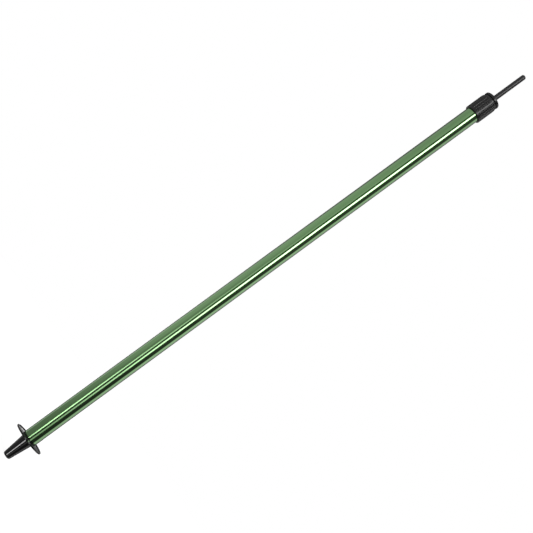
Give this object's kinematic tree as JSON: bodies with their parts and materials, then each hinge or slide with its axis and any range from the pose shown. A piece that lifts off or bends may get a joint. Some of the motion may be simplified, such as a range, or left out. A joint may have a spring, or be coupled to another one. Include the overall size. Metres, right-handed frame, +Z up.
{
  "type": "telescopic tarp pole",
  "caption": "Slim telescopic tarp pole: green anodised tubes with internal twist locks, black fluted grip collar, tapered foot with anti-sink disc and a steel eyelet pin on top.",
  "frame": {"origin": "centre of the foot tip's flat end, the lowest point of the upright pole", "axes": "+Z up the pole from foot to eyelet pin; the pole is round, so +X and +Y only fix the turn of the collar's flutes"},
  "size_m": [0.0524, 0.0524, 0.9526],
  "materials": {
    "green_anodised": "bright green anodised",
    "black_nylon": "black satin moulded nylon",
    "plug_nylon": "dark grey moulded nylon",
    "natural_nylon": "natural off-white nylon",
    "cone_acetal": "smooth black acetal",
    "ring_rubber": "black rubber",
    "zinc_steel": "zinc-plated steel",
    "spring_steel": "phosphated spring steel",
    "black_steel": "blackened steel, satin"
  },
  "bodies": {
    "ground_section": {"outer_tube": "green_anodised", "grip_collar": "black_nylon", "foot_plug": "black_nylon", "foot_stud": "zinc_steel", "foot_disc": "black_nylon", "foot_tip": "black_nylon"},
    "lower_sleeve": {"lower_expander_sleeve": "natural_nylon", "lower_drag_ring": "ring_rubber"},
    "lower_cone": {"lower_cone_nut": "cone_acetal"},
    "middle_section": {"middle_tube": "green_anodised", "middle_collar": "black_nylon", "lower_lock_plug": "plug_nylon", "lower_lock_stud": "zinc_steel", "lower_sleeve_clip": "spring_steel", "lower_stop_clip": "spring_steel"},
    "upper_sleeve": {"upper_expander_sleeve": "natural_nylon", "upper_drag_ring": "ring_rubber"},
    "upper_cone": {"upper_cone_nut": "cone_acetal"},
    "top_section": {"inner_tube": "green_anodised", "top_cap": "black_nylon", "eyelet_pin": "black_steel", "upper_lock_plug": "plug_nylon", "upper_lock_stud": "zinc_steel", "upper_sleeve_clip": "spring_steel", "upper_stop_clip": "spring_steel"}
  },
  "joints": [
    {"name": "middle_tube_slide", "type": "slide", "parent": "ground_section", "child": "lower_sleeve", "axis": [0, 0, 1], "range_m": [0, 0.775]},
    {"name": "lower_lock_twist", "type": "hinge", "parent": "lower_sleeve", "child": "middle_section", "pos_m": [0, 0, 0.1], "axis": [0, 0, -1], "range_deg": [0, 270]},
    {"name": "lower_cone_travel", "type": "slide", "parent": "lower_sleeve", "child": "lower_cone", "axis": [0, 0, 1], "range_m": [0, 0.0015]},
    {"name": "inner_tube_slide", "type": "slide", "parent": "middle_section", "child": "upper_sleeve", "axis": [0, 0, 1], "range_m": [0, 0.7288]},
    {"name": "upper_lock_twist", "type": "hinge", "parent": "upper_sleeve", "child": "top_section", "pos_m": [0, 0, 0.159], "axis": [0, 0, -1], "range_deg": [0, 270]},
    {"name": "upper_cone_travel", "type": "slide", "parent": "upper_sleeve", "child": "upper_cone", "axis": [0, 0, 1], "range_m": [0, 0.0015]}
  ],
  "couplings": [
    {"joint": "lower_cone_travel", "follows": "lower_lock_twist", "m_per_rad": 0.0003183},
    {"joint": "upper_cone_travel", "follows": "upper_lock_twist", "m_per_rad": 0.0003183}
  ]
}
